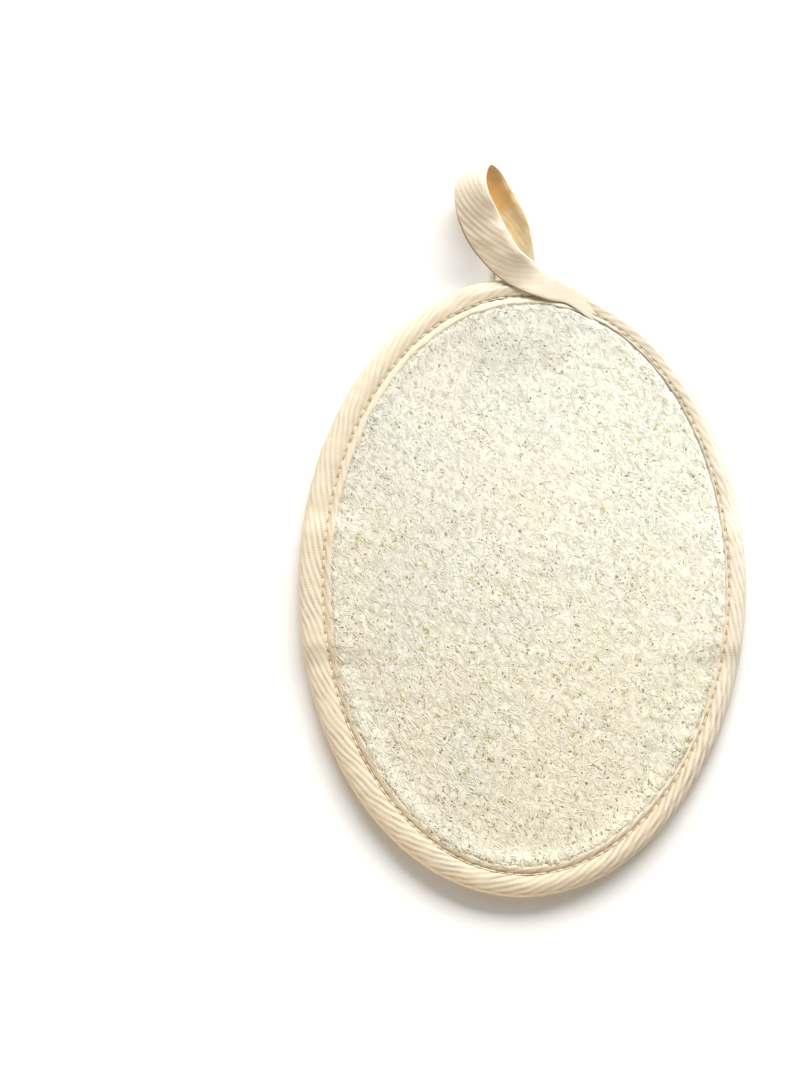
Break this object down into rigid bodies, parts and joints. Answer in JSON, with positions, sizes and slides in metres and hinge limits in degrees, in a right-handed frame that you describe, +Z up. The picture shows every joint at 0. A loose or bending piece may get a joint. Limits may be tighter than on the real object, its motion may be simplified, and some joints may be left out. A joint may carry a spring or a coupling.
{
  "type": "loofah bath pad",
  "caption": "Oval bath pad of loofah fibre backed with terry cloth, bound with folded twill tape that runs on into a hanging loop, with an elastic hand strap across the back.",
  "frame": {"origin": "middle of the whole pad's plan, hanging loop included, on the surface that it lies on", "axes": "+Z up out of the loofah face, +Y along the oval's long axis towards the hanging loop, +X to the right seen from above"},
  "size_m": [0.13, 0.213, 0.018],
  "materials": {
    "loofah_fibre": "pressed mat of dried loofah fibre, open net of fine strands, matt to slightly glossy strands",
    "terry_cloth": "undyed cotton terry with a short looped pile",
    "elastic_webbing": "woven elastic with lengthwise ribs and plain selvedges",
    "cotton_twill_tape": "undyed cotton twill tape with slanting ridges",
    "sewing_thread": "spun polyester-cotton lockstitch thread"
  },
  "bodies": {
    "root": {"loofah_face": "loofah_fibre", "terry_back": "terry_cloth", "elastic_strap": "elastic_webbing", "binding_tape": "cotton_twill_tape", "seam_thread_face": "sewing_thread", "seam_thread_back": "sewing_thread", "loop_tack_thread": "sewing_thread"}
  },
  "joints": []
}
